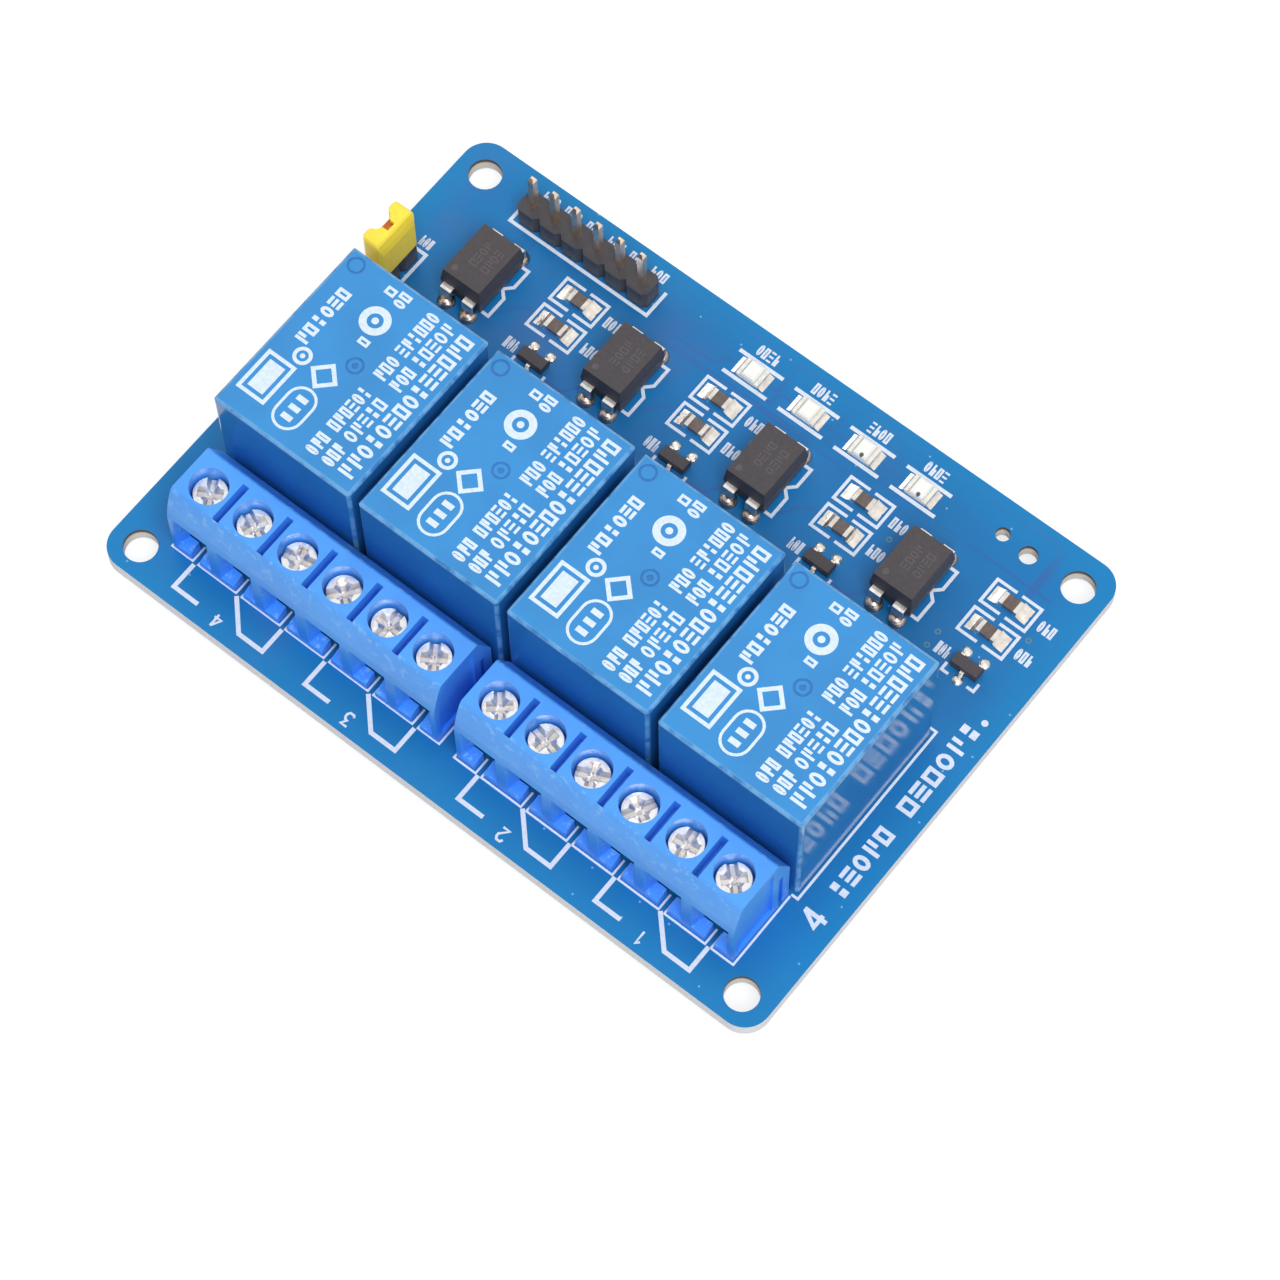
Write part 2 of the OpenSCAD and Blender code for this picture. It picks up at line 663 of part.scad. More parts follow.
// Shell of the jumper cap, standing on the header body, long along Y
module jumper_cap() {
    w = cap_width / 2;
    h = cap_height;
    l = pin_pitch - 0.04;
    difference() {
        intersection() {
            union() {
                linear_extrude(h) cap_outline(w, l);
                // closed wall below the notch
                span([-w, 0.72 - l, 0], [0, l - 0.72, h - cap_notch_d]);
            }
            translate([0, l, 0]) rotate([90, 0, 0]) linear_extrude(2 * l)
                polygon([[-w, 0], [w, 0], [w, h - 1.7], [w - 0.12, h - 1], [w - 0.34, h - 0.25],
                         [w - 0.5, h - 0.06],
                         [w - 0.7, h], [0.4 - w, h], [0.16 - w, h - 0.08], [0.04 - w, h - 0.25],
                         [-w, h - 0.5]]);
            translate([-w, 0, 0]) rotate([90, 0, 90]) linear_extrude(2 * w)
                polygon([[-l, 0], [l, 0], [l, h - 0.5], [l - 0.06, h - 0.25], [l - 0.2, h - 0.07],
                         [l - 0.42, h],
                         [0.42 - l, h], [0.2 - l, h - 0.07], [0.06 - l, h - 0.25], [-l, h - 0.5]]);
        }
        // cavity for the two pins and the clip
        span([-0.68, -l + 0.5, -1], [0.68, l - 0.5, h - cap_wall_top]);
        // notch in one side wall, open to the cavity, and the test slot beside it
        translate([-w, 0, h - cap_notch_d]) cylinder(r = 1.16, h = cap_notch_d + 1);
        span([-0.5, -0.5, h - 2.2], [0.42, 0.5, h + 1]);
    }
}

// Spring clip: a cheek on each side of the pins, joined by a bridge between them
module jumper_clip() {
    t = 0.25;
    s = pin_side / 2;
    l = pin_pitch - 0.65;
    z1 = cap_height - cap_wall_top - 0.35;
    union() {
        for (q = [-1, 1]) post(q * (s + t / 2), 0, t, 2 * l, 0.6, z1);
        post(0, 0, 2 * s + 2 * t, 1.3, z1 - t, z1);
    }
}

// ---- nodes ----

module relay_at(i) {
    translate([relay_x(i), relay_y, 0]) children();
}

module opto_at(i) {
    translate([relay_x(i) + opto_dx, opto_y, 0]) children();
}

color(blue_board) board();  // circuit_board
color(tin) solder();  // solder_joints
color(blue_relay) relay_at(0) relay_case();  // relay_case_1
color(blue_relay) relay_at(1) relay_case();  // relay_case_2
color(blue_relay) relay_at(2) relay_case();  // relay_case_3
color(blue_relay) relay_at(3) relay_case();  // relay_case_4
color("darkblue") relay_at(0) relay_base();  // relay_base_1
color("darkblue") relay_at(1) relay_base();  // relay_base_2
color("darkblue") relay_at(2) relay_base();  // relay_base_3
color("darkblue") relay_at(3) relay_base();  // relay_base_4
color("chocolate") relay_at(0) relay_coil();  // relay_coil_1
color("chocolate") relay_at(1) relay_coil();  // relay_coil_2
color("chocolate") relay_at(2) relay_coil();  // relay_coil_3
color("chocolate") relay_at(3) relay_coil();  // relay_coil_4
color("silver") relay_at(0) relay_yoke();  // relay_yoke_1
color("silver") relay_at(1) relay_yoke();  // relay_yoke_2
color("silver") relay_at(2) relay_yoke();  // relay_yoke_3
color("silver") relay_at(3) relay_yoke();  // relay_yoke_4
color("silver") relay_at(0) relay_armature();  // relay_armature_1
color("silver") relay_at(1) relay_armature();  // relay_armature_2
color("silver") relay_at(2) relay_armature();  // relay_armature_3
color("silver") relay_at(3) relay_armature();  // relay_armature_4
color(tin) relay_at(0) relay_leads();  // relay_leads_1
color(tin) relay_at(1) relay_leads();  // relay_leads_2
color(tin) relay_at(2) relay_leads();  // relay_leads_3
color(tin) relay_at(3) relay_leads();  // relay_leads_4
color(blue_block) terminal_housing(0);  // terminal_housing_1
color(blue_block) terminal_housing(1);  // terminal_housing_2
color("silver") terminal_screws(0);  // terminal_screws_1
color("silver") terminal_screws(1);  // terminal_screws_2
color("silver") wire_clamps(0);  // wire_clamps_1
color("silver") wire_clamps(1);  // wire_clamps_2
color(tin) terminal_tails(0);  // terminal_tails_1
color(tin) terminal_tails(1);  // terminal_tails_2
color(dark_body) opto_at(0) opto_body();  // optocoupler_1
color(dark_body) opto_at(1) opto_body();  // optocoupler_2
color(dark_body) opto_at(2) opto_body();  // optocoupler_3
color(dark_body) opto_at(3) opto_body();  // optocoupler_4
color(tin) opto_at(0) opto_leads();  // opto_leads_1
color(tin) opto_at(1) opto_leads();  // opto_leads_2
color(tin) opto_at(2) opto_leads();  // opto_leads_3
color(tin) opto_at(3) opto_leads();  // opto_leads_4
color(dark_body) each_transistor() transistor_body();  // transistors
color(tin) each_transistor() {  // transistor_leads
    transistor_lead(-0.95, 1);
    transistor_lead(0.95, 1);
    transistor_lead(0, -1);
}
color([0.3, 0.27, 0.26]) each_resistor() resistor_body();  // resistors
color(tin) each_resistor() resistor_ends();
color(tin) surface_solder();
color("white") each_led() led_base();  // led_bases
color("ivory") each_led() led_lens();  // led_lenses
color(dark_body)  // control_header
    translate([header_x, header_y, zb]) header_strip(control_pins);
color("goldenrod")  // control_header_pins
    for (i = [0:control_pins - 1]) translate([control_pin_x(i), header_y, zb]) header_pin();
color(dark_body)  // jumper_header
    translate([jumper_x, jumper_y, zb]) rotate([0, 0, 90]) header_strip(3);
color("goldenrod")  // jumper_header_pins
    for (i = [-1:1]) translate([jumper_x, jumper_y + i * pin_pitch, zb]) header_pin();
color("yellow") translate([jumper_x, cap_y, cap_z]) jumper_cap();
color("peru") translate([jumper_x, cap_y, cap_z]) jumper_clip();
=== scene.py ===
import json
import math
import bpy
import bmesh
import numpy as np
from mathutils import Matrix, Vector

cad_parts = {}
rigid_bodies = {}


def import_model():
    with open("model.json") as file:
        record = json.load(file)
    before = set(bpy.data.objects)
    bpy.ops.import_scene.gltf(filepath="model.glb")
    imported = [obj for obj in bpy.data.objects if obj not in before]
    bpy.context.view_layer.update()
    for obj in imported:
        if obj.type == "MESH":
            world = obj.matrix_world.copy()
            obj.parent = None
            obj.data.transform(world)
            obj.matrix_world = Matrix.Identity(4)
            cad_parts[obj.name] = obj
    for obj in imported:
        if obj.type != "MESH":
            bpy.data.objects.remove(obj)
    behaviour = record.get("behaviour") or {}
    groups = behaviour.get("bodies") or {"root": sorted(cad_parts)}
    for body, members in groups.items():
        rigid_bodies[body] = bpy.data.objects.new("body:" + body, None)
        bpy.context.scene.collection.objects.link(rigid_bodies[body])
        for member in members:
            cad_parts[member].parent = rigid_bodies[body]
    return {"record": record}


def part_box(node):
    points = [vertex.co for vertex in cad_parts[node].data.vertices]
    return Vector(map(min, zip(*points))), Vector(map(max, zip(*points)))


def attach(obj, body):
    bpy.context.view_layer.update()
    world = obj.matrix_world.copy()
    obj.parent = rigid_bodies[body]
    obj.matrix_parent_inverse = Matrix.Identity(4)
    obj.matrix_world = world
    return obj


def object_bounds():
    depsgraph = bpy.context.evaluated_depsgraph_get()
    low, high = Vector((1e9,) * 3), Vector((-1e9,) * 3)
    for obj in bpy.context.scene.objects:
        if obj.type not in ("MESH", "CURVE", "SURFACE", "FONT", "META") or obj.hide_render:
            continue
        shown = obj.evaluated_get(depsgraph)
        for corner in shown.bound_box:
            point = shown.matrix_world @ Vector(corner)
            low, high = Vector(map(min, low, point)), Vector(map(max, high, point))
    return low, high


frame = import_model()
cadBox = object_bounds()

mm = 0.001


# shader values as Python expressions

class Wire:
    # one value in a node tree; arithmetic on it adds Math nodes
    def __init__(self, nodes, socket):
        self.nodes, self.socket = nodes, socket

    def calc(self, operation, *values):
        return self.nodes.add("Math", {"operation": operation}, dict(enumerate(values)))[0]

    def __add__(self, other):
        return self.calc("ADD", self, other)

    def __radd__(self, other):
        return self.calc("ADD", other, self)

    def __sub__(self, other):
        return self.calc("SUBTRACT", self, other)

    def __rsub__(self, other):
        return self.calc("SUBTRACT", other, self)

    def __mul__(self, other):
        return self.calc("MULTIPLY", self, other)

    def __rmul__(self, other):
        return self.calc("MULTIPLY", other, self)

    def over(self, edge):
        # 1 above the edge, 0 below it
        return self.calc("GREATER_THAN", self, edge)

    def under(self, edge):
        # 1 below the edge, 0 above it
        return self.calc("LESS_THAN", self, edge)

    def size(self):
        # the value without its sign
        return self.calc("ABSOLUTE", self)

    def root(self):
        return self.calc("SQRT", self)

    def top(self, other):
        # the larger of two values
        return self.calc("MAXIMUM", self, other)

    def low(self, other):
        # the smaller of two values
        return self.calc("MINIMUM", self, other)

    def ramp(self, start, end, low=0.0, high=1.0):
        # smooth step from low at start to high at end
        return self.nodes.add("MapRange", {"interpolation_type": "SMOOTHSTEP"},
                              {0: self, 1: start, 2: end, 3: low, 4: high})[0]


class Nodes:
    # a node tree; add() makes every node in it
    def __init__(self, tree):
        self.tree = tree

    def add(self, kind, settings=None, sockets=None):
        node = self.tree.nodes.new("ShaderNode" + kind)
        for key, value in (settings or {}).items():
            setattr(node, key, value)
        for key, value in (sockets or {}).items():
            self.join(node.inputs[key], value)
        return [Wire(self, socket) for socket in node.outputs]

    def join(self, socket, value):
        if isinstance(value, Wire):
            self.tree.links.new(value.socket, socket)
        else:
            socket.default_value = value

    def blend(self, mask, first, second, how="MIX"):
        # first where the mask is 0, second where it is 1
        return self.add("Mix", {"data_type": "RGBA", "blend_type": how},
                        {0: mask, 6: first, 7: second})[2]


class Finish(Nodes):
    # a Principled material
    def __init__(self, name, colour, roughness, metallic=0.0, **fixed):
        self.material = bpy.data.materials.new(name)
        self.material.use_nodes = True
        super().__init__(self.material.node_tree)
        self.shader = self.tree.nodes["Principled BSDF"]
        self.colour = rgb(colour)
        self.feed("Base Color", self.colour)
        self.feed("Roughness", roughness)
        self.feed("Metallic", metallic)
        for key, value in fixed.items():
            self.feed(key.replace("_", " "), value)
        self.material.diffuse_color = self.colour
        self.place = self.add("TexCoord")[3]

    def feed(self, name, value):
        self.join(self.shader.inputs[name], value)

    def axes(self):
        # place on the part, in millimetres
        return [value * 1000 for value in self.add("SeparateXYZ", None, {0: self.place})]

    def noise(self, size, detail, rough=0.5, stretch=None):
        # size is that of one blot, in millimetres
        place = self.place
        if stretch:
            place = self.add("Mapping", None, {"Vector": place, "Scale": stretch})[0]
        return self.add("TexNoise", None, {"Vector": place, "Scale": 1000 / size, "Detail": detail,
                                           "Roughness": rough})[0]

    def flakes(self, size):
        # a steady random value in each cell of the given size in millimetres
        cell = self.add("TexVoronoi", None, {"Vector": self.place, "Scale": 1000 / size})[1]
        return self.add("SeparateXYZ", None, {0: cell})[0]

    def specks(self, size, share):
        # a small round dot in a share of the flat cells of the given size in millimetres
        away, chance = self.add("TexVoronoi", {"voronoi_dimensions": "2D"},
                                {"Vector": self.place, "Scale": 1000 / size})[:2]
        taken = self.add("SeparateXYZ", None, {0: chance})[0].under(share)
        return away.ramp(0.014, 0.026, 1, 0) * taken  # the dot's radius, as a share of its cell

    def slant(self):
        # 0 on faces square to the part, 1 on chamfers and rounds: the sizes of a normal's three shares
        # add up to 1 on a square face, and to more on a slanted one
        x, y, z = [share.size() for share in self.add("SeparateXYZ", None, {0: self.add("TexCoord")[1]})]
        return (x + y + z).ramp(1.1, 1.38)

    def bump(self, height, depth, strength):
        # depth in millimetres
        self.feed("Normal", self.add("Bump", None, {"Strength": strength, "Distance": depth * mm,
                                                    "Height": height})[0])


def rgb(colour):
    # screen values from 0 to 255 as linear light, by the usual screen curve
    value = np.array(colour, float) / 255
    linear = np.where(value < 0.04045, value / 12.92, ((value + 0.055) / 1.055) ** 2.4)
    return (*[float(v) for v in linear], 1.0)


def shade(finish, spread, size):
    # mottles the base colour by a small share either way
    cloud = finish.noise(size, 3)
    pale = tuple(min(1.0, v * (1 + spread)) for v in finish.colour[:3]) + (1.0,)
    dark = tuple(v * (1 - spread) for v in finish.colour[:3]) + (1.0,)
    mixed = finish.blend(cloud.ramp(0.3, 0.7), dark, pale)
    finish.feed("Base Color", mixed)
    return mixed


# surfaces

def gridFaces(rows, columns, loopRows, loopColumns):
    # one quad between each point of a rows by columns grid and its next neighbours
    r, c = np.meshgrid(np.arange(rows - (not loopRows)), np.arange(columns - (not loopColumns)),
                       indexing="ij")
    r2, c2 = (r + 1) % rows, (c + 1) % columns
    quads = [r * columns + c, r * columns + c2, r2 * columns + c2, r2 * columns + c]
    return np.stack(quads, -1).reshape(-1, 4)


class Pile:
    # gathers grid surfaces and makes one mesh piece of them
    def __init__(self):
        self.points, self.faces, self.count = [], [], 0

    def sheet(self, points, loopRows=False, loopColumns=False, caps=False):
        # a grid of points, joined round in a direction that loops; caps close its first and last rows
        rows, columns = points.shape[:2]
        self.faces += (gridFaces(rows, columns, loopRows, loopColumns) + self.count).tolist()
        if caps:
            self.faces += [(np.arange(columns) + self.count).tolist(),
                           (np.arange(columns) + self.count + (rows - 1) * columns)[::-1].tolist()]
        self.points.append(points.reshape(-1, 3))
        self.count += rows * columns

    def stroke(self, path, width, base, height, closed=False):
        # flat bar carried along a path in the XY plane, mitred at its corners: each point moves half the
        # width along the corner's bisector, longer by one over the cosine of the half turn
        path = np.array(path, float)
        ahead = np.roll(path, -1, 0) - path
        ahead /= np.maximum(np.linalg.norm(ahead, axis=1, keepdims=True), 1e-9)
        if not closed:
            ahead[-1] = ahead[-2]
        behind = np.roll(ahead, 1, 0)
        if not closed:
            behind[0] = ahead[0]
        side = np.stack([-(ahead + behind)[:, 1], (ahead + behind)[:, 0]], 1)
        side /= np.linalg.norm(side, axis=1, keepdims=True)
        square = np.stack([-ahead[:, 1], ahead[:, 0]], 1)
        reach = 1 / np.clip((side * square).sum(1), 0.62, 1)  # the limit keeps sharp corners short
        left = path + side * (reach * width / 2)[:, None]
        right = path - side * (reach * width / 2)[:, None]
        flat = [(left, base), (right, base), (right, base + height), (left, base + height)]
        ring = np.stack([np.column_stack([p, np.full(len(path), z)]) for p, z in flat], 1)
        self.sheet(ring, closed, True, not closed)

    def turned(self, centre, profile, steps=28, looped=True):
        # profile of (radius, height) points carried round an upright axis: x is the radius times the
        # cosine of the angle, y the radius times its sine
        profile, angle = np.array(profile, float), np.linspace(0, 2 * math.pi, steps, endpoint=False)
        x = centre[0] + np.outer(np.cos(angle), profile[:, 0])
        y = centre[1] + np.outer(np.sin(angle), profile[:, 0])
        z = np.broadcast_to(profile[:, 1], x.shape)
        self.sheet(np.stack([x, y, z], -1), True, looped)

    def ring(self, centre, inner, outer, base, height, steps=28):
        # a flat washer: a rectangle carried round
        top = base + height
        self.turned(centre, [(inner, base), (outer, base), (outer, top), (inner, top)], steps)

    def disc(self, centre, radius, base, height):
        # a flat round plate: a rectangle that starts on the axis carried round
        top = base + height
        self.turned(centre, [(0, base), (radius, base), (radius, top), (0, top)], 24, False)

    def build(self, name, finish):
        # one closed mesh piece with its faces outwards, on the one body
        mesh = bpy.data.meshes.new(name)
        mesh.from_pydata((np.concatenate(self.points) * mm).tolist(), [], self.faces)
        tidy = bmesh.new()
        tidy.from_mesh(mesh)
        bmesh.ops.remove_doubles(tidy, verts=tidy.verts, dist=1e-7)
        bmesh.ops.recalc_face_normals(tidy, faces=tidy.faces)
        tidy.to_mesh(mesh)
        tidy.free()
        piece = bpy.data.objects.new(name, mesh)
        bpy.context.scene.collection.objects.link(piece)
        mesh.materials.append(finish.material)
        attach(piece, "root")


# places of the parts, from the frame, in millimetres

def middle(node):
    low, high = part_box(node)
    return [(low[k] + high[k]) / 2 / mm for k in range(3)]


def corner(node, side):
    # the lowest corner for side 0, the highest for side 1
    return [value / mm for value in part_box(node)[side]]


pinPitch, polePitch, diodePitch = 2.54, 5.08, 6.35
boardHigh, boardMiddle = corner("circuit_board", 1), middle("circuit_board")
boardTop = boardHigh[2]
relayX = [middle(f"relay_case_{i}")[0] for i in (1, 2, 3, 4)]
relayY = middle("relay_case_1")[1]
relayTop = corner("relay_case_1", 1)[2]
relayBack = corner("relay_case_1", 1)[1]
optoX = [middle(f"optocoupler_{i}")[0] for i in (1, 2, 3, 4)]
optoY = middle("optocoupler_1")[1]
optoLeadX, optoLeadY = pinPitch / 2, 3.81  # from an optocoupler's middle
blockFront = corner("terminal_housing_1", 0)[1]
blockBack = corner("terminal_housing_1", 1)[1]
poleX = [first + polePitch * k for first in (-29.05, 3.65) for k in range(6)]
diodeX = [-1.705 + diodePitch * k for k in range(4)]
diodeY = middle("led_bases")[1]
headerX = [middle("control_header")[0] + pinPitch * (k - 2.5) for k in range(6)]
jumperY = [middle("jumper_header")[1] + pinPitch * (k - 1) for k in range(3)]
resistorDx, resistorY = 5.82, (optoY + 0.2, optoY + 3.6)  # from a relay's middle
transistorDx, transistorY = 6.42, optoY - 3.8

# the camera's place in millimetres, its angles in degrees
camera = {"lens": 122.93, "sensor": 36, "place": (106.27, -124.67, 354.03), "azimuth": 39.294,
          "elevation": 65.576, "roll": 0.91, "shift": (-0.0045, -0.0279), "clip": (0.01, 20)}


def placeCamera(c):
    # looks along -back, with its right and up sides turned by the roll
    a, e, r = (math.radians(c[k]) for k in ("azimuth", "elevation", "roll"))
    back = Vector((math.sin(a) * math.cos(e), -math.cos(a) * math.cos(e), math.sin(e)))
    level = (-back).cross(Vector((0, 0, 1))).normalized()
    down = (-back).cross(level)
    right = math.cos(r) * level + math.sin(r) * down
    up = back.cross(right)
    lens = bpy.data.cameras.new("camera")
    lens.lens, lens.sensor_width = c["lens"], c["sensor"]
    lens.shift_x, lens.shift_y = c["shift"]
    lens.clip_start, lens.clip_end = c["clip"]
    holder = bpy.data.objects.new("camera", lens)
    bpy.context.scene.collection.objects.link(holder)
    turn = Matrix((right, up, back)).transposed().to_4x4()
    holder.matrix_world = Matrix.Translation(Vector(c["place"]) * mm) @ turn
    bpy.context.scene.camera = holder


placeCamera(camera)
print("camera placed")

# finishes; colours are screen values, and lengths are in millimetres

board = {"mask": (16, 117, 183), "track": (44, 104, 172), "gloss": 0.36,
         "deep": (17, 109, 172), "deepBlot": 15, "violet": (60, 106, 168), "violetBlot": 8,
         "rim": (6, 134, 196), "rimWidth": 5, "dust": (150, 205, 240), "dustCell": 5, "dustShare": 0.4,
         "edge": (255, 255, 255), "edgeWidth": 0.9, "fibre": (238, 240, 248), "fibreSize": 0.3,
         # a hole's wall: darker brown at the top, and near white lower down as painted light
         "hole": (96, 82, 72), "wall": (244, 240, 232), "wallTop": (0.9, 1.3)}


def maskFinish(name, colour):
    # blue solder mask with deeper and more violet blots, bare laminate at the board's outer edge, and on
    # the holes' walls a darker brown top over a lower part painted light
    f = Finish(name, colour, board["gloss"], Specular_IOR_Level=0.4)
    x, y, z = f.axes()
    beside = x.size() - boardHigh[0]
    behind = (y - boardMiddle[1]).size() - (boardHigh[1] - boardMiddle[1])
    rim = beside.top(behind)  # below 0 on the board, 0 at its edge
    tone = f.blend(f.noise(board["deepBlot"], 3).ramp(0.35, 0.65), rgb(board["deep"]), f.colour)
    violet = f.noise(board["violetBlot"], 2).ramp(0.52, 0.74) * x.ramp(-30, 15, 0.65, 0.3)
    tone = f.blend(violet, tone, rgb(board["violet"]))  # more of it towards the left
    tone = f.blend(rim.ramp(-board["rimWidth"], 0) * 0.6, tone, rgb(board["rim"]))
    tone = f.blend(f.specks(board["dustCell"], board["dustShare"]) * 0.6, tone, rgb(board["dust"]))
    inside = (z - boardMiddle[2]).size().under(boardMiddle[2] - 0.01)  # between the two faces
    fibre = f.noise(board["fibreSize"], 2, stretch=(1, 1, 3)).ramp(0.35, 0.65)
    edge = f.blend(fibre, rgb(board["edge"]), rgb(board["fibre"]))
    # painted light: a hole's wall turns near white lower down, below its darker brown top
    wall = f.blend(z.ramp(*board["wallTop"]), rgb(board["wall"]), rgb(board["hole"]))
    cut = f.blend(rim.over(-board["edgeWidth"]), wall, edge)  # the outer edge, or a hole's wall
    f.feed("Base Color", f.blend(inside, tone, cut))
    f.feed("Roughness", (f.noise(3, 2) * 0.14 + (board["gloss"] - 0.07)).top(inside * 0.8))
    f.bump(f.noise(0.5, 2) + f.noise(6, 1) * 4, 0.008, 0.35)
    return f


# among the relay's colours are a painted shade for the sides and a painted highlight for the edges
relay = {"cover": (54, 142, 210), "sideShade": (210, 219, 233), "edgeHighlight": (130, 192, 238), "base": (14, 34, 92),
         "top": 0.42, "side": 0.11, "blot": 6, "highlightBlot": 1.2, "grain": 0.16}


def coverFinish():
    # satin top face over glossier sides, which painted shade makes deeper, with painted highlights in
    # pale blots along the edges
    f = Finish("relayCover", relay["cover"], relay["side"])
    tone = shade(f, 0.06, relay["blot"])
    level = f.axes()[2].over(relayTop - 0.04)
    # painted shade: the sides take the tone times a darker, bluer colour, the top keeps the tone
    tone = f.blend(level, f.blend(1, tone, rgb(relay["sideShade"]), "MULTIPLY"), tone)
    # painted highlight: pale blots on the rounded edges
    edge = f.slant() * f.noise(relay["highlightBlot"], 3).ramp(0.3, 0.6)
    f.feed("Base Color", f.blend(edge * 0.6, tone, rgb(relay["edgeHighlight"])))
    step = relay["top"] - relay["side"]
    f.feed("Roughness", f.noise(2.2, 4) * 0.1 + (relay["side"] - 0.05) + level * step)
    f.bump(f.noise(relay["grain"], 2) * level + f.noise(5, 1) * (level * 2 + 1), 0.004, 0.5)
    return f


# among the block's colours are a painted shade low down and a painted highlight for its slants
block = {"plastic": (82, 164, 255), "low": (50, 142, 255), "lowShadeTo": (3, 8), "edgeHighlight": (150, 208, 255),
         "blot": 4, "highlightBlot": 0.9, "grain": 0.12, "gloss": 0.36}


def blockFinish():
    # painted shade, deeper blue low down where the overhang shades the front, and painted highlights in
    # small pale blots on the slanted front
    f = Finish("terminalPlastic", block["plastic"], block["gloss"])
    # painted shade: deeper blue low down
    tone = f.blend(f.axes()[2].ramp(*block["lowShadeTo"]), rgb(block["low"]), shade(f, 0.05, block["blot"]))
    # painted highlight: small pale blots on chamfers, rounds and the wells' walls
    highlightBlot = f.slant() * f.noise(block["highlightBlot"], 5, 0.7).ramp(0.53, 0.63)
    f.feed("Base Color", f.blend(highlightBlot * 0.55, tone, rgb(block["edgeHighlight"])))
    f.feed("Roughness", f.noise(1.2, 3) * 0.2 + (block["gloss"] - 0.1))
    f.bump(f.noise(block["grain"], 3) + f.noise(2.5, 1) * 4, 0.006, 0.5)
    return f


# among the screw's colours are a painted reflection in patches and a painted shade in the recess
screw = {"zinc": (255, 252, 247), "dark": (200, 196, 194), "facetSheen": (234, 230, 226), "facet": 0.55,
         "head": 10.5, "recess": 0.55, "gloss": 0.3}


def screwFinish():
    # bright and dim patches of painted reflection in random facets, and painted shade darker down in the
    # recess
    f = Finish("zincScrew", screw["zinc"], screw["gloss"], 1.0)
    # painted reflection: a dimmer tone in random facets
    facetSheen = f.flakes(screw["facet"])
    tone = f.blend(facetSheen.ramp(0.1, 0.8) * 0.6, rgb(screw["zinc"]), rgb(screw["facetSheen"]))
    # painted shade: darker down in the recess, more in some facets than in others
    deep = f.axes()[2].ramp(screw["head"] - screw["recess"], screw["head"] - 0.02, 1, 0)
    f.feed("Base Color", f.blend(deep * (facetSheen * 0.5 + 0.5), tone, rgb(screw["dark"])))
    f.feed("Roughness", f.noise(0.4, 3) * 0.3 + (screw["gloss"] - 0.12))
    f.bump(facetSheen + f.noise(0.3, 3) * 0.8, 0.04, 0.7)
    return f


def metalFinish(name, colour, roughness, scratch, size=0.25):
    # metal with fine lines along Y; size is the width of a line
    f = Finish(name, colour, roughness, 1.0)
    shade(f, 0.12, 0.6)
    lines = f.noise(size, 3, 0.6, (1, 0.18, 1))
    f.feed("Roughness", lines * 0.3 + (roughness - 0.12))
    f.bump(lines + f.noise(0.5, 2) * 2, 0.02, scratch)
    return f


def plainFinish(name, colour, roughness, spread=0.08, size=0.5, depth=0.004, **fixed):
    # lightly mottled plastic or paint; size is that of one blot
    f = Finish(name, colour, roughness, **fixed)
    shade(f, spread, size)
    f.feed("Roughness", f.noise(size * 2, 3) * 0.14 + (roughness - 0.07))
    f.bump(f.noise(size * 0.4, 2), depth, 0.5)
    return f


diodeLens = {"milk": (252, 252, 246), "chip": (74, 76, 78), "radius": (0.14, 0.26),
             "place": (0.2, -0.72)}


def lensFinish():
    # milky lens; in the two right-hand ones the chip shows as a dark dot
    f = plainFinish("ledLens", diodeLens["milk"], 0.2, 0.03, 0.6, 0.003,
                    Coat_Weight=0.5, Coat_Roughness=0.05)
    x, y, z = f.axes()
    chipX, chipY = [diodeX[k] + diodeLens["place"][0] for k in (2, 3)], diodeY + diodeLens["place"][1]
    across = (x - chipX[0]).size().low((x - chipX[1]).size())
    along = y - chipY
    dot = (across * across + along * along).root().ramp(*diodeLens["radius"], 1, 0)
    f.feed("Base Color", f.blend(dot, f.colour, rgb(diodeLens["chip"])))
    return f


# painted glow: the thin yellow plastic gives off a little light of its own, for the light that it passes
# on
glow = {"Emission_Color": rgb((255, 160, 20)), "Emission_Strength": 0.07}
finishes = {
    "board": maskFinish("solderMask", board["mask"]),
    "relay_case": coverFinish(),
    "relay_base": plainFinish("relayBase", relay["base"], 0.45),
    "terminal_block": blockFinish(),
    "screw": screwFinish(),
    "solder": metalFinish("tinSolder", (226, 219, 210), 0.27, 0.8, 0.5),
    "tinned": metalFinish("tinnedLead", (236, 230, 222), 0.34, 0.3, 0.3),
    "iron": metalFinish("platedIron", (170, 170, 172), 0.35, 0.4),
    "coil": plainFinish("copperCoil", (150, 78, 34), 0.4),
    "dark_epoxy": plainFinish("darkEpoxy", (66, 61, 64), 0.55, 0.1, 0.3, 0.006),
    "chip_body": plainFinish("chipGlaze", (104, 91, 86), 0.3, 0.15, 0.4),
    "led_base": plainFinish("ledCarrier", (238, 236, 226), 0.5),
    "led_lens": lensFinish(),
    "header_plastic": plainFinish("headerPlastic", (60, 59, 64), 0.45, 0.1, 0.3, 0.006),
    "pin": metalFinish("goldPin", (238, 214, 188), 0.3, 0.3, 0.3),
    "jumper_yellow": plainFinish("jumperPlastic", (255, 232, 74), 0.45, 0.04, 0.8, **glow),
    "clip_bronze": metalFinish("bronzeClip", (196, 110, 56), 0.35, 0.4, 0.3),
}
printWhite = plainFinish("printWhite", (222, 230, 244), 0.6, 0.05, 0.3)
coverPrint = plainFinish("coverPrint", (220, 236, 250), 0.5, 0.06, 0.3)
epoxyPrint = plainFinish("epoxyPrint", (86, 81, 84), 0.6, 0.08, 0.3)
padTin = metalFinish("padTin", (186, 170, 158), 0.28, 0.6, 0.4)
rimCopper = plainFinish("rimCopper", (84, 130, 150), 0.4)
trackMask = maskFinish("trackMask", board["track"])

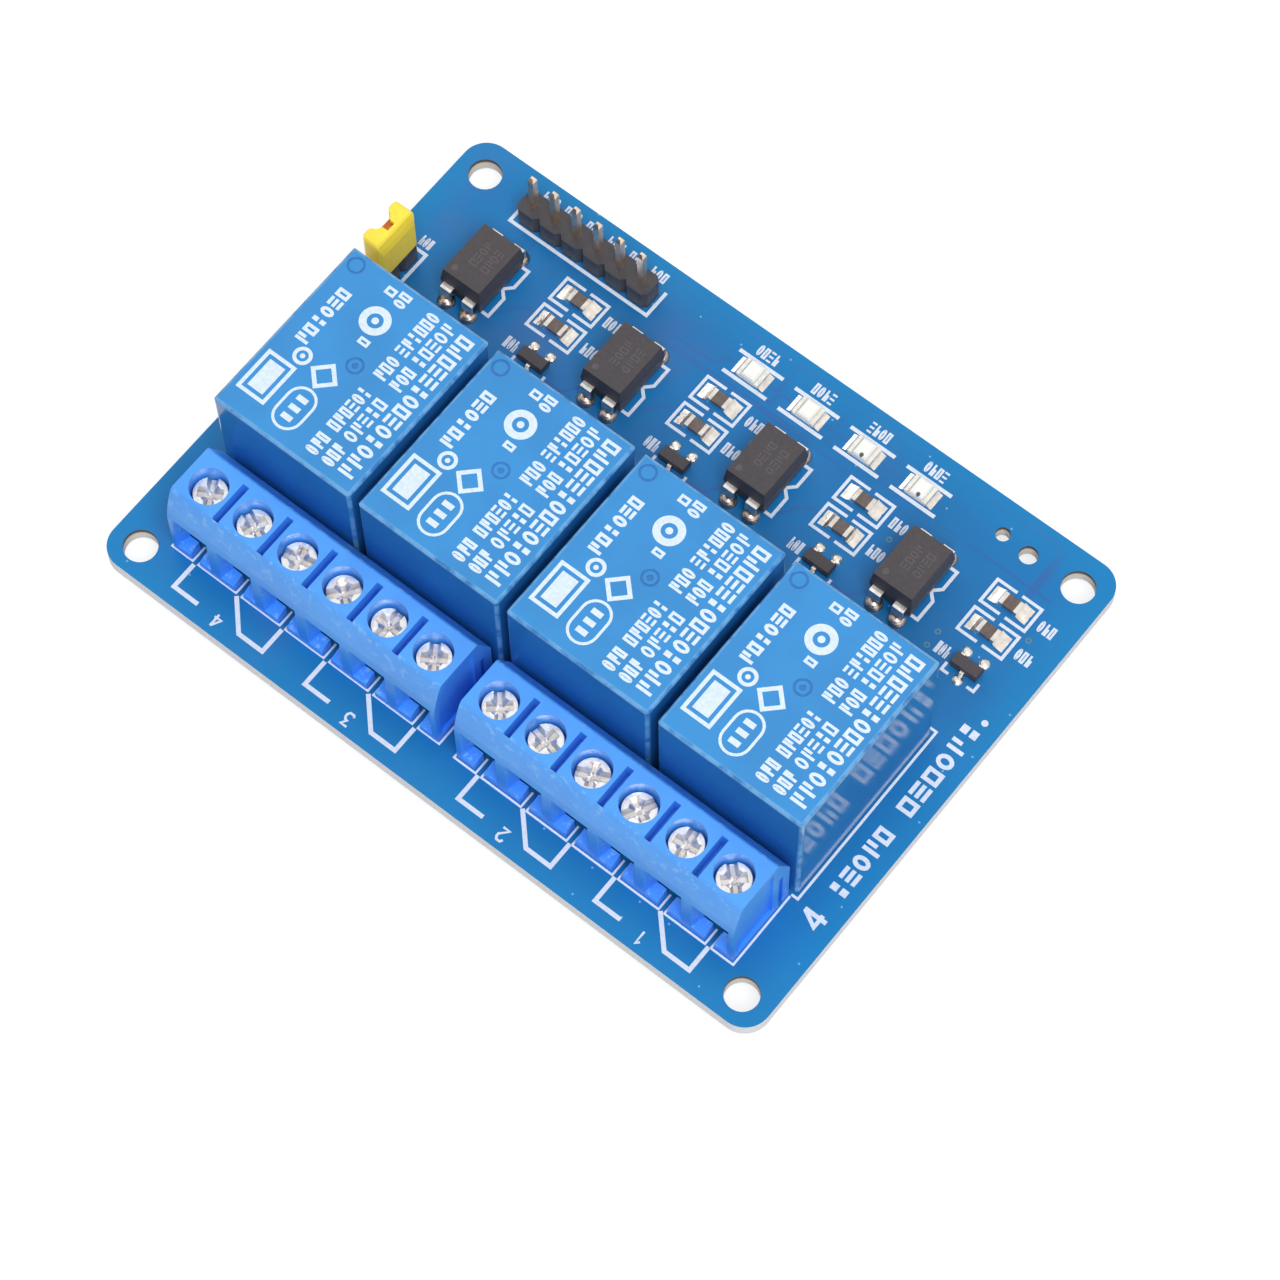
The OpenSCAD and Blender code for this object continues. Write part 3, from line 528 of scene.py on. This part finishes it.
for entry in frame["record"]["subparts"]:
    node = bpy.data.objects[entry["node"]]
    node.data.materials.clear()
    node.data.materials.append(finishes[entry["material_slot"]].material)
print("finishes made")

# print on the board

silk = {"line": 0.3, "thin": 0.2, "symbol": 0.42, "lift": 0.022, "sink": 0.004}
silkBase, silkTall = boardTop - silk["sink"], silk["lift"] + silk["sink"]


def rectangle(x0, x1, y0, y1):
    return [(x0, y0), (x1, y0), (x1, y1), (x0, y1)]


def signs(pile, area, count, line, seed, base, height, alongX=False):
    # a run of plain shapes in place of a line of print: frames, rings, bars in twos and threes, and
    # blocks, each in the middle of its share of the run and four fifths as wide
    x0, x1, y0, y1 = area
    chance = np.random.default_rng(seed)
    start, end = (x0, x1) if alongX else (y0, y1)
    low, high = (y0, y1) if alongX else (x0, x1)
    step = (end - start) / count
    wide = (step * 0.8 - line) / 2
    half = (high - low - line) / 2
    foot, head = -half - line / 2, half + line / 2
    turn = np.linspace(0, 2 * math.pi, 14, endpoint=False)
    shapes = [
        [(rectangle(-wide, wide, -half, half), line, True)],
        [(np.stack([wide * np.cos(turn), half * np.sin(turn)], 1), line, True)],
        [([(-wide * 0.6, foot), (-wide * 0.6, head)], line, False),
         ([(wide * 0.9, foot), (wide * 0.9, half * 0.3)], line, False)],
        [([(-wide - line / 2, q), (wide + line / 2, q)], line, False) for q in (-half, 0, half)],
        [([(0, foot), (0, -half * 0.2)], wide * 1.6, False),
         ([(0, half * 0.25), (0, head)], wide * 1.6, False)],
    ]
    for k, kind in enumerate(chance.permutation(np.arange(count) % 5)):
        centre = np.array([start + step * (k + 0.5), (low + high) / 2])
        for path, width, closed in shapes[kind]:
            path = np.array(path, float) + centre
            pile.stroke(path if alongX else path[:, ::-1], width, base, height, closed)


# in the dictionaries of print, each number is a distance from the part's middle or edge
relayFrame = {"side": 7.95, "front": 9.85, "back": 0.42, "stub": 0.7, "line": 0.24}


def relayLines(line):
    # open frame round the row of relays
    right, front = relayX[3] + relayFrame["side"], relayY - relayFrame["front"]
    stub, back = right - relayFrame["stub"], relayBack + relayFrame["back"]
    line([(stub, front), (right, front), (right, back), (-right, back), (-right, front), (-stub, front)],
         relayFrame["line"])


blockFrame = {"side": 2.74, "front": (0.02, 0.2), "end": 0.1, "gap": 0.42, "tick": 0.32, "tickBack": 1.7}


def blockLines(line):
    # frame round each terminal block, open at each pole, with a tick at either side of the opening
    end, gap, tick = blockFrame["end"], blockFrame["gap"], blockFrame["tick"]
    for b in (0, 1):
        poles = poleX[6 * b:6 * b + 6]
        x0, x1 = poles[0] - blockFrame["side"], poles[5] + blockFrame["side"]
        y0, y1 = blockFront - blockFrame["front"][b], blockBack
        for side in (x0, x1):
            line([(side, y0 - end), (side, y1)], silk["thin"])
        edges = [x0 + end] + [x + s for x in poles for s in (-gap, gap)] + [x1 - end]
        for k in range(0, len(edges), 2):
            line([(edges[k], y0), (edges[k + 1], y0)], silk["thin"])
        for x in poles:
            for s in (-tick, tick):
                line([(x + s, y0 - end), (x + s, y0 + blockFrame["tickBack"])], silk["thin"])


contact = {"start": 0.22, "hook": 2.74, "foot": 2.8, "bend": 2.68, "slope": 2.45, "wider": 0.1}


def contactLines(line):
    # contact signs in front of the terminals: one per relay, at its three poles
    front, wider = blockFront - contact["start"], contact["wider"]
    for k in range(4):
        left, centre, right = poleX[3 * k:3 * k + 3]
        hook, bend = front - contact["hook"], front - contact["bend"]
        line([(left, front), (left, hook), (left + contact["foot"], hook)], silk["symbol"])
        line([(centre - wider, front), (centre + contact["slope"], bend), (right + wider, bend),
              (right + wider, front)], silk["symbol"])


optoFrame = {"side": 2.72, "depth": 0.75, "levels": (-2.65, -0.4, 0.35, 1.1, 3.2), "line": 0.32}


def optoLines(line):
    # the right side of each optocoupler's frame, with its notch
    low, down, notch, up, high = [optoY + level for level in optoFrame["levels"]]
    for x in optoX:
        side = x + optoFrame["side"]
        inner = side - optoFrame["depth"]
        line([(inner, low), (side, low), (side, down), (inner, notch), (side, up), (side, high),
              (inner, high)], optoFrame["line"])


resistorFrame = {"inner": 0.28, "outer": 2.42, "half": 1.32, "label": (8.85, 10.6, -0.62, 0.6)}
transistorFrame = {"inner": 1.0, "outer": 1.75, "top": 0.5, "bottom": 1.35, "line": 0.28,
                   "label": (-3.5, -2.05, -0.4, 0.85)}


def chipLines(line, label):
    # two brackets and a label at each resistor and transistor
    for n, x in enumerate(relayX):
        half = resistorFrame["half"]
        for m, y in enumerate(resistorY):
            for s in (-1, 1):
                inner = x + resistorDx + s * resistorFrame["inner"]
                outer = x + resistorDx + s * resistorFrame["outer"]
                line([(inner, y - half), (outer, y - half), (outer, y + half), (inner, y + half)])
            label(x, y, resistorFrame["label"], 3, 7 * n + m)
        cx, y = x + transistorDx, transistorY
        top, bottom = y - transistorFrame["top"], y - transistorFrame["bottom"]
        for s in (-1, 1):
            outer = cx + s * transistorFrame["outer"]
            line([(outer, top), (outer, bottom), (cx + s * transistorFrame["inner"], bottom)],
                 transistorFrame["line"])
        label(cx, y, transistorFrame["label"], 3, 30 + n)


diodeFrame = {"half": 2.5, "side": 1.28, "line": 0.38, "label": (-1.25, 1.15, 1.8, 3.0)}


def diodeLines(line, label):
    # two bars and a label at each light emitting diode
    half, side = diodeFrame["half"], diodeFrame["side"]
    for n, x in enumerate(diodeX):
        for y in (diodeY - side, diodeY + side):
            line([(x - half, y), (x + half, y)], diodeFrame["line"])
        label(x, diodeY, diodeFrame["label"], 4, 40 + n)


headerFrame = {"left": 0.4, "right": 0.42, "front": 0.3, "back": 0.15, "line": 0.34,
               "label": (-0.95, 0.95, 0.5, 1.6)}
jumperFrame = {"right": 0.35, "front": 0.4, "back": 0.3, "depth": 1.6, "label": (-1.5, -0.1, 0.5, 1.6)}


def headerLines(line, label):
    # brackets at the control header and the jumper, and a label at each pin
    low, high = corner("control_header", 0), corner("control_header", 1)
    x0, x1 = low[0] - headerFrame["left"], high[0] + headerFrame["right"]
    y0, y1 = low[1] - headerFrame["front"], high[1] + headerFrame["back"]
    line([(x0, y1), (x0, y0), (x1, y0), (x1, y1)], headerFrame["line"])
    for n in range(6):
        label(low[0] + pinPitch / 2 + pinPitch * n, y1, headerFrame["label"], 3, 60 + n)
    low, high = corner("jumper_header", 0), corner("jumper_header", 1)
    x1, y0 = high[0] + jumperFrame["right"], low[1] - jumperFrame["front"]
    x0, y1 = x1 - jumperFrame["depth"], high[1] + jumperFrame["back"]
    line([(x0, y1), (x1, y1), (x1, y0), (x0, y0)], headerFrame["line"])
    label(x1, y1, jumperFrame["label"], 3, 71)


def boardPrint():
    pile = Pile()

    def line(path, width=silk["line"]):
        pile.stroke(path, width, silkBase, silkTall)

    def label(x, y, area, count, seed):
        x0, x1, y0, y1 = area
        area = (x + x0, x + x1, y + y0, y + y1)
        signs(pile, area, count, silk["thin"], seed, silkBase, silkTall, True)

    relayLines(line)
    blockLines(line)
    contactLines(line)
    optoLines(line)
    chipLines(line, label)
    diodeLines(line, label)
    headerLines(line, label)
    pile.build("board_print", printWhite)


numerals = {
    1: [[(0.2, 0.75), (0.55, 1), (0.55, 0)]],
    2: [[(0.05, 0.78), (0.25, 0.98), (0.7, 0.98), (0.92, 0.78), (0.92, 0.58), (0.05, 0.02),
         (0.95, 0.02)]],
    3: [[(0.05, 0.98), (0.9, 0.98), (0.48, 0.6), (0.75, 0.58), (0.93, 0.4), (0.93, 0.2), (0.72, 0.02),
         (0.25, 0.02), (0.05, 0.16)]],
    4: [[(0.98, 0.28), (0.05, 0.28), (0.66, 0.96)], [(0.7, 1), (0.7, 0)]],
}

# each of the runs has its two ends, its count of shapes and its seed
figures = {"shift": 2.6, "front": 3.2, "tall": 1.3, "line": 0.22, "wide": 0.62,
           "bigPlace": (34.6, 7.4), "bigTall": 2.3, "bigLine": 0.42,
           "run": (33.9, 35.6), "runs": ((-12.4, -4.5, 5, 5), (-2.7, 8.0, 6, 8)), "runLine": 0.4,
           "dot": (35.3, 8.6), "dotRadius": 0.32}


def figure(pile, number, centre, tall, turn, width):
    # numeral strokes, scaled to the wanted height and turned about their centre; each stroke is a hair
    # higher than the last, so that no two top faces meet
    c, s = math.cos(turn), math.sin(turn)
    for k, path in enumerate(numerals[number]):
        local = (np.array(path) - 0.5) * (tall * figures["wide"], tall)
        pile.stroke(local @ np.array([[c, s], [-s, c]]) + centre, width, silkBase, silkTall + 0.004 * k)


def channelNumbers():
    # the channel's number in each contact sign, the large figure beside the last relay, and two runs of
    # shapes and a dot in place of words
    pile = Pile()
    for k in range(4):
        x = (poleX[3 * k] + poleX[3 * k + 1]) / 2 + figures["shift"]
        centre = (x, blockFront - figures["front"])
        figure(pile, 4 - k, centre, figures["tall"], math.pi, figures["line"])
    x, y = figures["bigPlace"]
    figure(pile, 4, (x, blockFront + y), figures["bigTall"], math.pi / 2, figures["bigLine"])
    for y0, y1, count, seed in figures["runs"]:
        signs(pile, (*figures["run"], y0, y1), count, figures["runLine"], seed, silkBase, silkTall)
    pile.disc(figures["dot"], figures["dotRadius"], silkBase, silkTall)
    pile.build("channel_numbers", printWhite)


# print on the parts

cover = {"line": 0.26, "bold": 0.32, "sink": 0.004, "tall": 0.016,
         "badge": (-4.2, -1.6), "badgeRing": (0.55, 0.9), "badgeDot": 0.24,
         "frame": (-6.75, -3.95, -7.2, -3.0), "frameLine": 0.36,
         "fill": (-5.35, -6.65, -5.35, -3.55), "fillWidth": 1.7,
         "wheel": (-1.45, 4.95), "wheelRing": (0.75, 1.45), "wheelDot": 0.34,
         "lozenge": (-1.45, -1.95), "lozengeHalf": 1.25, "lozengeLine": 0.4,
         "oval": (-1.45, -5.1, -6.75), "ovalRadius": 1.35,
         "bars": (-2.0, -0.9, -5.92), "barStep": 1.05, "barWidth": 0.55}


def coverPrints():
    # blocks, rings and bars in the places of the print on each relay
    pile = Pile()
    base, tall = relayTop - cover["sink"], cover["tall"]
    for cx in relayX:
        def run(x0, x1, y0, y1, count, seed, line=cover["line"]):
            signs(pile, (cx + x0, cx + x1, relayY + y0, relayY + y1), count, line, seed, base, tall)

        def bar(x0, y0, x1, y1, width):
            pile.stroke([(cx + x0, relayY + y0), (cx + x1, relayY + y1)], width, base, tall)

        def place(name):
            return cx + cover[name][0], relayY + cover[name][1]

        # run beside the small ring
        run(-6.0, -4.65, -0.8, 5.8, 6, 3, cover["bold"])
        pile.ring(place("badge"), *cover["badgeRing"], base, tall)
        pile.disc(place("badge"), cover["badgeDot"], base, tall)
        # framed block
        path = [(cx + x, relayY + y) for x, y in rectangle(*cover["frame"])]
        pile.stroke(path, cover["frameLine"], base, tall, True)
        bar(*cover["fill"], cover["fillWidth"])
        # thick ring and small shapes beside it
        pile.ring(place("wheel"), *cover["wheelRing"], base, tall, 40)
        pile.disc(place("wheel"), cover["wheelDot"], base, tall)
        run(-2.75, -1.7, 7.5, 8.55, 1, 3)
        run(-1.45, -0.25, 7.1, 8.8, 2, 4)
        run(-1.45, -0.35, 2.3, 3.2, 1, 5)
        # lozenge
        x, y = place("lozenge")
        r = cover["lozengeHalf"]
        path = [(x - r, y), (x, y - r), (x + r, y), (x, y + r)]
        pile.stroke(path, cover["lozengeLine"], base, tall, True)
        # rounded frame with three blocks: two half circles joined by straight sides
        turn = np.linspace(0, math.pi, 12)
        arc = np.stack([cover["ovalRadius"] * np.cos(turn), cover["ovalRadius"] * np.sin(turn)], 1)
        x, back, front = cover["oval"]
        path = np.concatenate([arc + (cx + x, relayY + back), -arc + (cx + x, relayY + front)])
        pile.stroke(path, cover["line"], base, tall, True)
        x0, x1, y = cover["bars"]
        for k in (-1, 0, 1):
            bar(x0, y + k * cover["barStep"], x1, y + k * cover["barStep"], cover["barWidth"])
        # three rows along the right side
        for x0, x1, count in ((1.65, 3.0, 6), (3.45, 4.8, 5)):
            run(x0, x1, -8.4, -6.15, 3, 6 + count)
            run(x0, x1, -5.5, -0.6, count, 7 + count)
            run(x0, x1, 0.7, 3.25, 3, 8 + count)
            run(x0, x1, 3.7, 8.7, count, 9 + count)
        run(5.25, 6.85, -8.4, 8.7, 14, 11, cover["bold"])
    pile.build("relay_print", coverPrint)


epoxy = {"dot": (-1.35, -2.2), "dotRadius": 0.32, "runs": (-0.75, 0.55), "runWidth": 0.85,
         "run": (-1.1, 1.7), "line": 0.13, "sink": 0.004, "tall": 0.01, "dotSink": 0.01, "dotTall": 0.014}


def optoPrints():
    # faint marks on the optocouplers: a dot at the first lead and two short runs
    pile = Pile()
    top = corner("optocoupler_1", 1)[2]
    for n, x in enumerate(optoX):
        dot = (x + epoxy["dot"][0], optoY + epoxy["dot"][1])
        pile.disc(dot, epoxy["dotRadius"], top - epoxy["dotSink"], epoxy["dotTall"])
        y0, y1 = [optoY + y for y in epoxy["run"]]
        for k, dx in enumerate(epoxy["runs"]):
            signs(pile, (x + dx, x + dx + epoxy["runWidth"], y0, y1), 4, epoxy["line"], 80 + n + 5 * k,
                  top - epoxy["sink"], epoxy["tall"])
    pile.build("opto_print", epoxyPrint)


# solder and copper on the board; each profile is a row of (radius, height over the board)

padDome = [(0.2, -0.02), (0.9, -0.02), (0.9, 0.05), (0.84, 0.24), (0.7, 0.44), (0.48, 0.6), (0.2, 0.7)]
padFlat = [(0.3, -0.02), (0.86, -0.02), (0.86, 0.03), (0.74, 0.07), (0.5, 0.16), (0.3, 0.2)]
leadDome = [(0, -0.02), (0.54, -0.02), (0.54, 0.04), (0.47, 0.15), (0.3, 0.27), (0, 0.34)]


def onBoard(profile):
    return [(radius, boardTop + height) for radius, height in profile]


def pads():
    # solder domes round the optocouplers' leads, and flatter ones round the header pins
    pile = Pile()
    for x in optoX:
        for sx in (-optoLeadX, optoLeadX):
            for sy in (-optoLeadY, optoLeadY):
                pile.turned((x + sx, optoY + sy), onBoard(padDome))
    pins = [(x, middle("control_header")[1]) for x in headerX]
    for x, y in pins + [(middle("jumper_header")[0], y) for y in jumperY]:
        pile.turned((x, y), onBoard(padFlat))
    pile.build("pad_rings", padTin)


def blobs():
    # solder at the transistors' leads
    pile = Pile()
    for x in relayX:
        for dx, dy in ((-0.95, 1.35), (0.95, 1.35), (0, -1.35)):
            pile.turned((x + transistorDx + dx, transistorY + dy), onBoard(leadDome), 20, False)
    pile.build("lead_blobs", finishes["solder"])


feedHole = {"inner": 0.14, "outer": 0.3, "sink": 0.006, "under": 0.01, "tall": 0.016,
            "places": ((33.6, 17.35), (26.8, 13.1), (26.8, 11.5), (-13.9, 17.6), (2.5, 17.6),
                       (18.0, 17.6))}


def rims():
    # plated rims of the small feed-through holes, on both faces of the board
    pile = Pile()
    for centre in feedHole["places"]:
        for level in (boardTop - feedHole["sink"], -feedHole["under"]):
            pile.ring(centre, feedHole["inner"], feedHole["outer"], level, feedHole["tall"], 20)
    pile.build("hole_rims", rimCopper)


# widths of the lines, and how far they stand over the board
copper = {"fine": 0.22, "lead": 0.3, "supply": 0.8, "rail": 1.2, "contact": 2.6, "common": 2.8,
          "coil": 0.5, "signal": 0.4, "lift": 0.007, "stagger": 0.0004, "sink": 0.004}


def tracks():
    # copper lines under the mask, standing a hair over both faces
    pile = Pile()

    def lineOn(top, width, *path):
        # each a little higher than the last, so that no two top faces meet where lines cross
        lift, sink = copper["lift"] + copper["stagger"] * (len(pile.points) % 16), copper["sink"]
        pile.stroke(path, width, boardTop - sink if top else -lift, lift + sink)

    back = optoY + optoLeadY
    # from the control header to the optocouplers, side by side behind their leads
    for k in range(4):
        x, target, lane = headerX[k + 1], optoX[k] + optoLeadX, 20.72 + 0.36 * (3 - k)
        lineOn(True, copper["fine"], (x, 22.2), (x, lane + 0.3), (x + 0.3, lane), (target - 0.4, lane),
               (target, lane - 0.4), (target, back))
    # supply line behind the diodes, and each diode to its resistor
    lineOn(True, copper["supply"], (headerX[5] + 0.4, 25.3), (headerX[5] + 1.5, 26.5), (30.2, 26.5),
           (31.0, 25.7), (31.0, 20.8))
    for k, x in enumerate(diodeX):
        start, lane = relayX[k] + resistorDx + 1.5, 0.1 * k
        lineOn(True, copper["fine"], (x - 2.0, diodeY), (x - 2.9, diodeY), (x - 3.3, diodeY - 0.5),
               (x - 3.3, 22.0 - lane), (start + 1.2, 21.9 - lane))
        lineOn(True, copper["lead"], (x + 2.0, diodeY), (x + 2.8, diodeY), (x + 2.8, 26.3))
    # each pair of resistors to its optocoupler and to the next part
    near, far = resistorY
    for x in relayX:
        left, right = x + resistorDx - 1.6, x + resistorDx + 1.6
        lineOn(True, copper["lead"], (left, near), (x + 2.2, near), (x + 1.2, near - 1.0),
               (x + 1.2, optoY - 1.2), (x - 1.2, optoY - optoLeadY))
        lineOn(True, copper["lead"], (right, far), (x + 10.9, far), (x + 11.4, far - 0.5),
               (x + 11.4, 12.6), (x + 10.2, 11.0), (x + 8.4, 11.0))
    # wide lines under the board, from the relays' contacts to the terminals, and fine ones to the coils
    tail, leadY = middle("terminal_tails_1")[1] + 1.5, relayY - 7.1
    for k, x in enumerate(relayX):
        left, centre, right = poleX[3 * k:3 * k + 3]
        control = optoX[k] - optoLeadX
        lineOn(False, copper["contact"], (x - 6, leadY), (x - 6, leadY - 1.4), (left, tail))
        lineOn(False, copper["contact"], (x + 6, leadY), (x + 6, leadY - 1.4), (right, tail))
        lineOn(False, copper["common"], (x, relayY + 7.1), (x, leadY - 0.6), (centre, tail))
        lineOn(False, copper["coil"], (x - 6, relayY + 5.1), (x - 6, relayY + 8.6),
               (optoX[k] + optoLeadX, optoY - optoLeadY))
        lineOn(False, copper["coil"], (x + 6, relayY + 5.1), (x + 6, relayY + 9.4),
               (x + transistorDx, transistorY))
        lineOn(False, copper["signal"], (control, back), (control, back + 1.6 + 0.5 * k),
               (headerX[k + 1], 22.6))
    lineOn(False, copper["rail"], (headerX[0], 23.6), (headerX[0], 26.2), (30.5, 26.2), (30.5, 9.6),
           (-31.5, 9.6), (-34.4, 12.6))
    pile.build("copper_lines", trackMask)


boardPrint()
channelNumbers()
coverPrints()
optoPrints()
pads()
blobs()
rims()
tracks()
print("print, pads and tracks made")

# floor and light; places and sizes in metres

light = {"world": 0.4, "shine": 1.0, "floor": 0.4, "glow": 0.72, "span": 3.0, "drop": 0.02 * mm}
lamps = {"key": {"place": (0.36, -0.28, 0.83), "size": 0.6, "power": 6.6},
         "fill": {"place": (-0.7, 0.45, 0.4), "size": 0.5, "power": 1.3}}


def grey(value):
    return (value, value, value, 1)


def makeSky(scene):
    # white where it is seen, itself or through glass, and its own level for shine and for light
    world = bpy.data.worlds.new("studio")
    scene.world = world
    world.use_nodes = True
    nodes = Nodes(world.node_tree)
    rays = nodes.add("LightPath")
    seen = rays[0].top(rays[6])
    level = seen + (1 - seen) * (rays[3] * (light["shine"] - light["world"]) + light["world"])
    background = world.node_tree.nodes["Background"]
    nodes.join(background.inputs["Strength"], level)
    nodes.join(background.inputs["Color"], grey(1))


def placeLamps(scene):
    # round soft lamps, each turned to the origin
    for name, lamp in lamps.items():
        disk = bpy.data.lights.new(name, "AREA")
        disk.shape, disk.size, disk.energy = "DISK", lamp["size"], lamp["power"]
        holder = bpy.data.objects.new(name, disk)
        holder.location = lamp["place"]
        holder.rotation_euler = Vector(lamp["place"]).to_track_quat("Z", "Y").to_euler()
        scene.collection.objects.link(holder)


def layFloor(scene):
    # takes a faint shadow and is lifted to white where it is seen; a hair below the lowest lead
    finish = Finish("floor", (160, 160, 160), 0.9)
    finish.feed("Base Color", grey(light["floor"]))
    rays = finish.add("LightPath")
    finish.feed("Emission Color", finish.blend(rays[0].top(rays[3]), grey(0), grey(light["glow"])))
    finish.feed("Emission Strength", 1.0)
    span, level = light["span"], cadBox[0][2] - light["drop"]
    mesh = bpy.data.meshes.new("floor")
    mesh.from_pydata([(x, y, level) for x, y in rectangle(-span, span, -span, span)], [], [(0, 1, 2, 3)])
    mesh.materials.append(finish.material)
    ground = bpy.data.objects.new("floor", mesh)
    scene.collection.objects.link(ground)


studioScene = bpy.context.scene
makeSky(studioScene)
placeLamps(studioScene)
layFloor(studioScene)
studioScene.view_settings.view_transform = "Standard"
print("studio made")
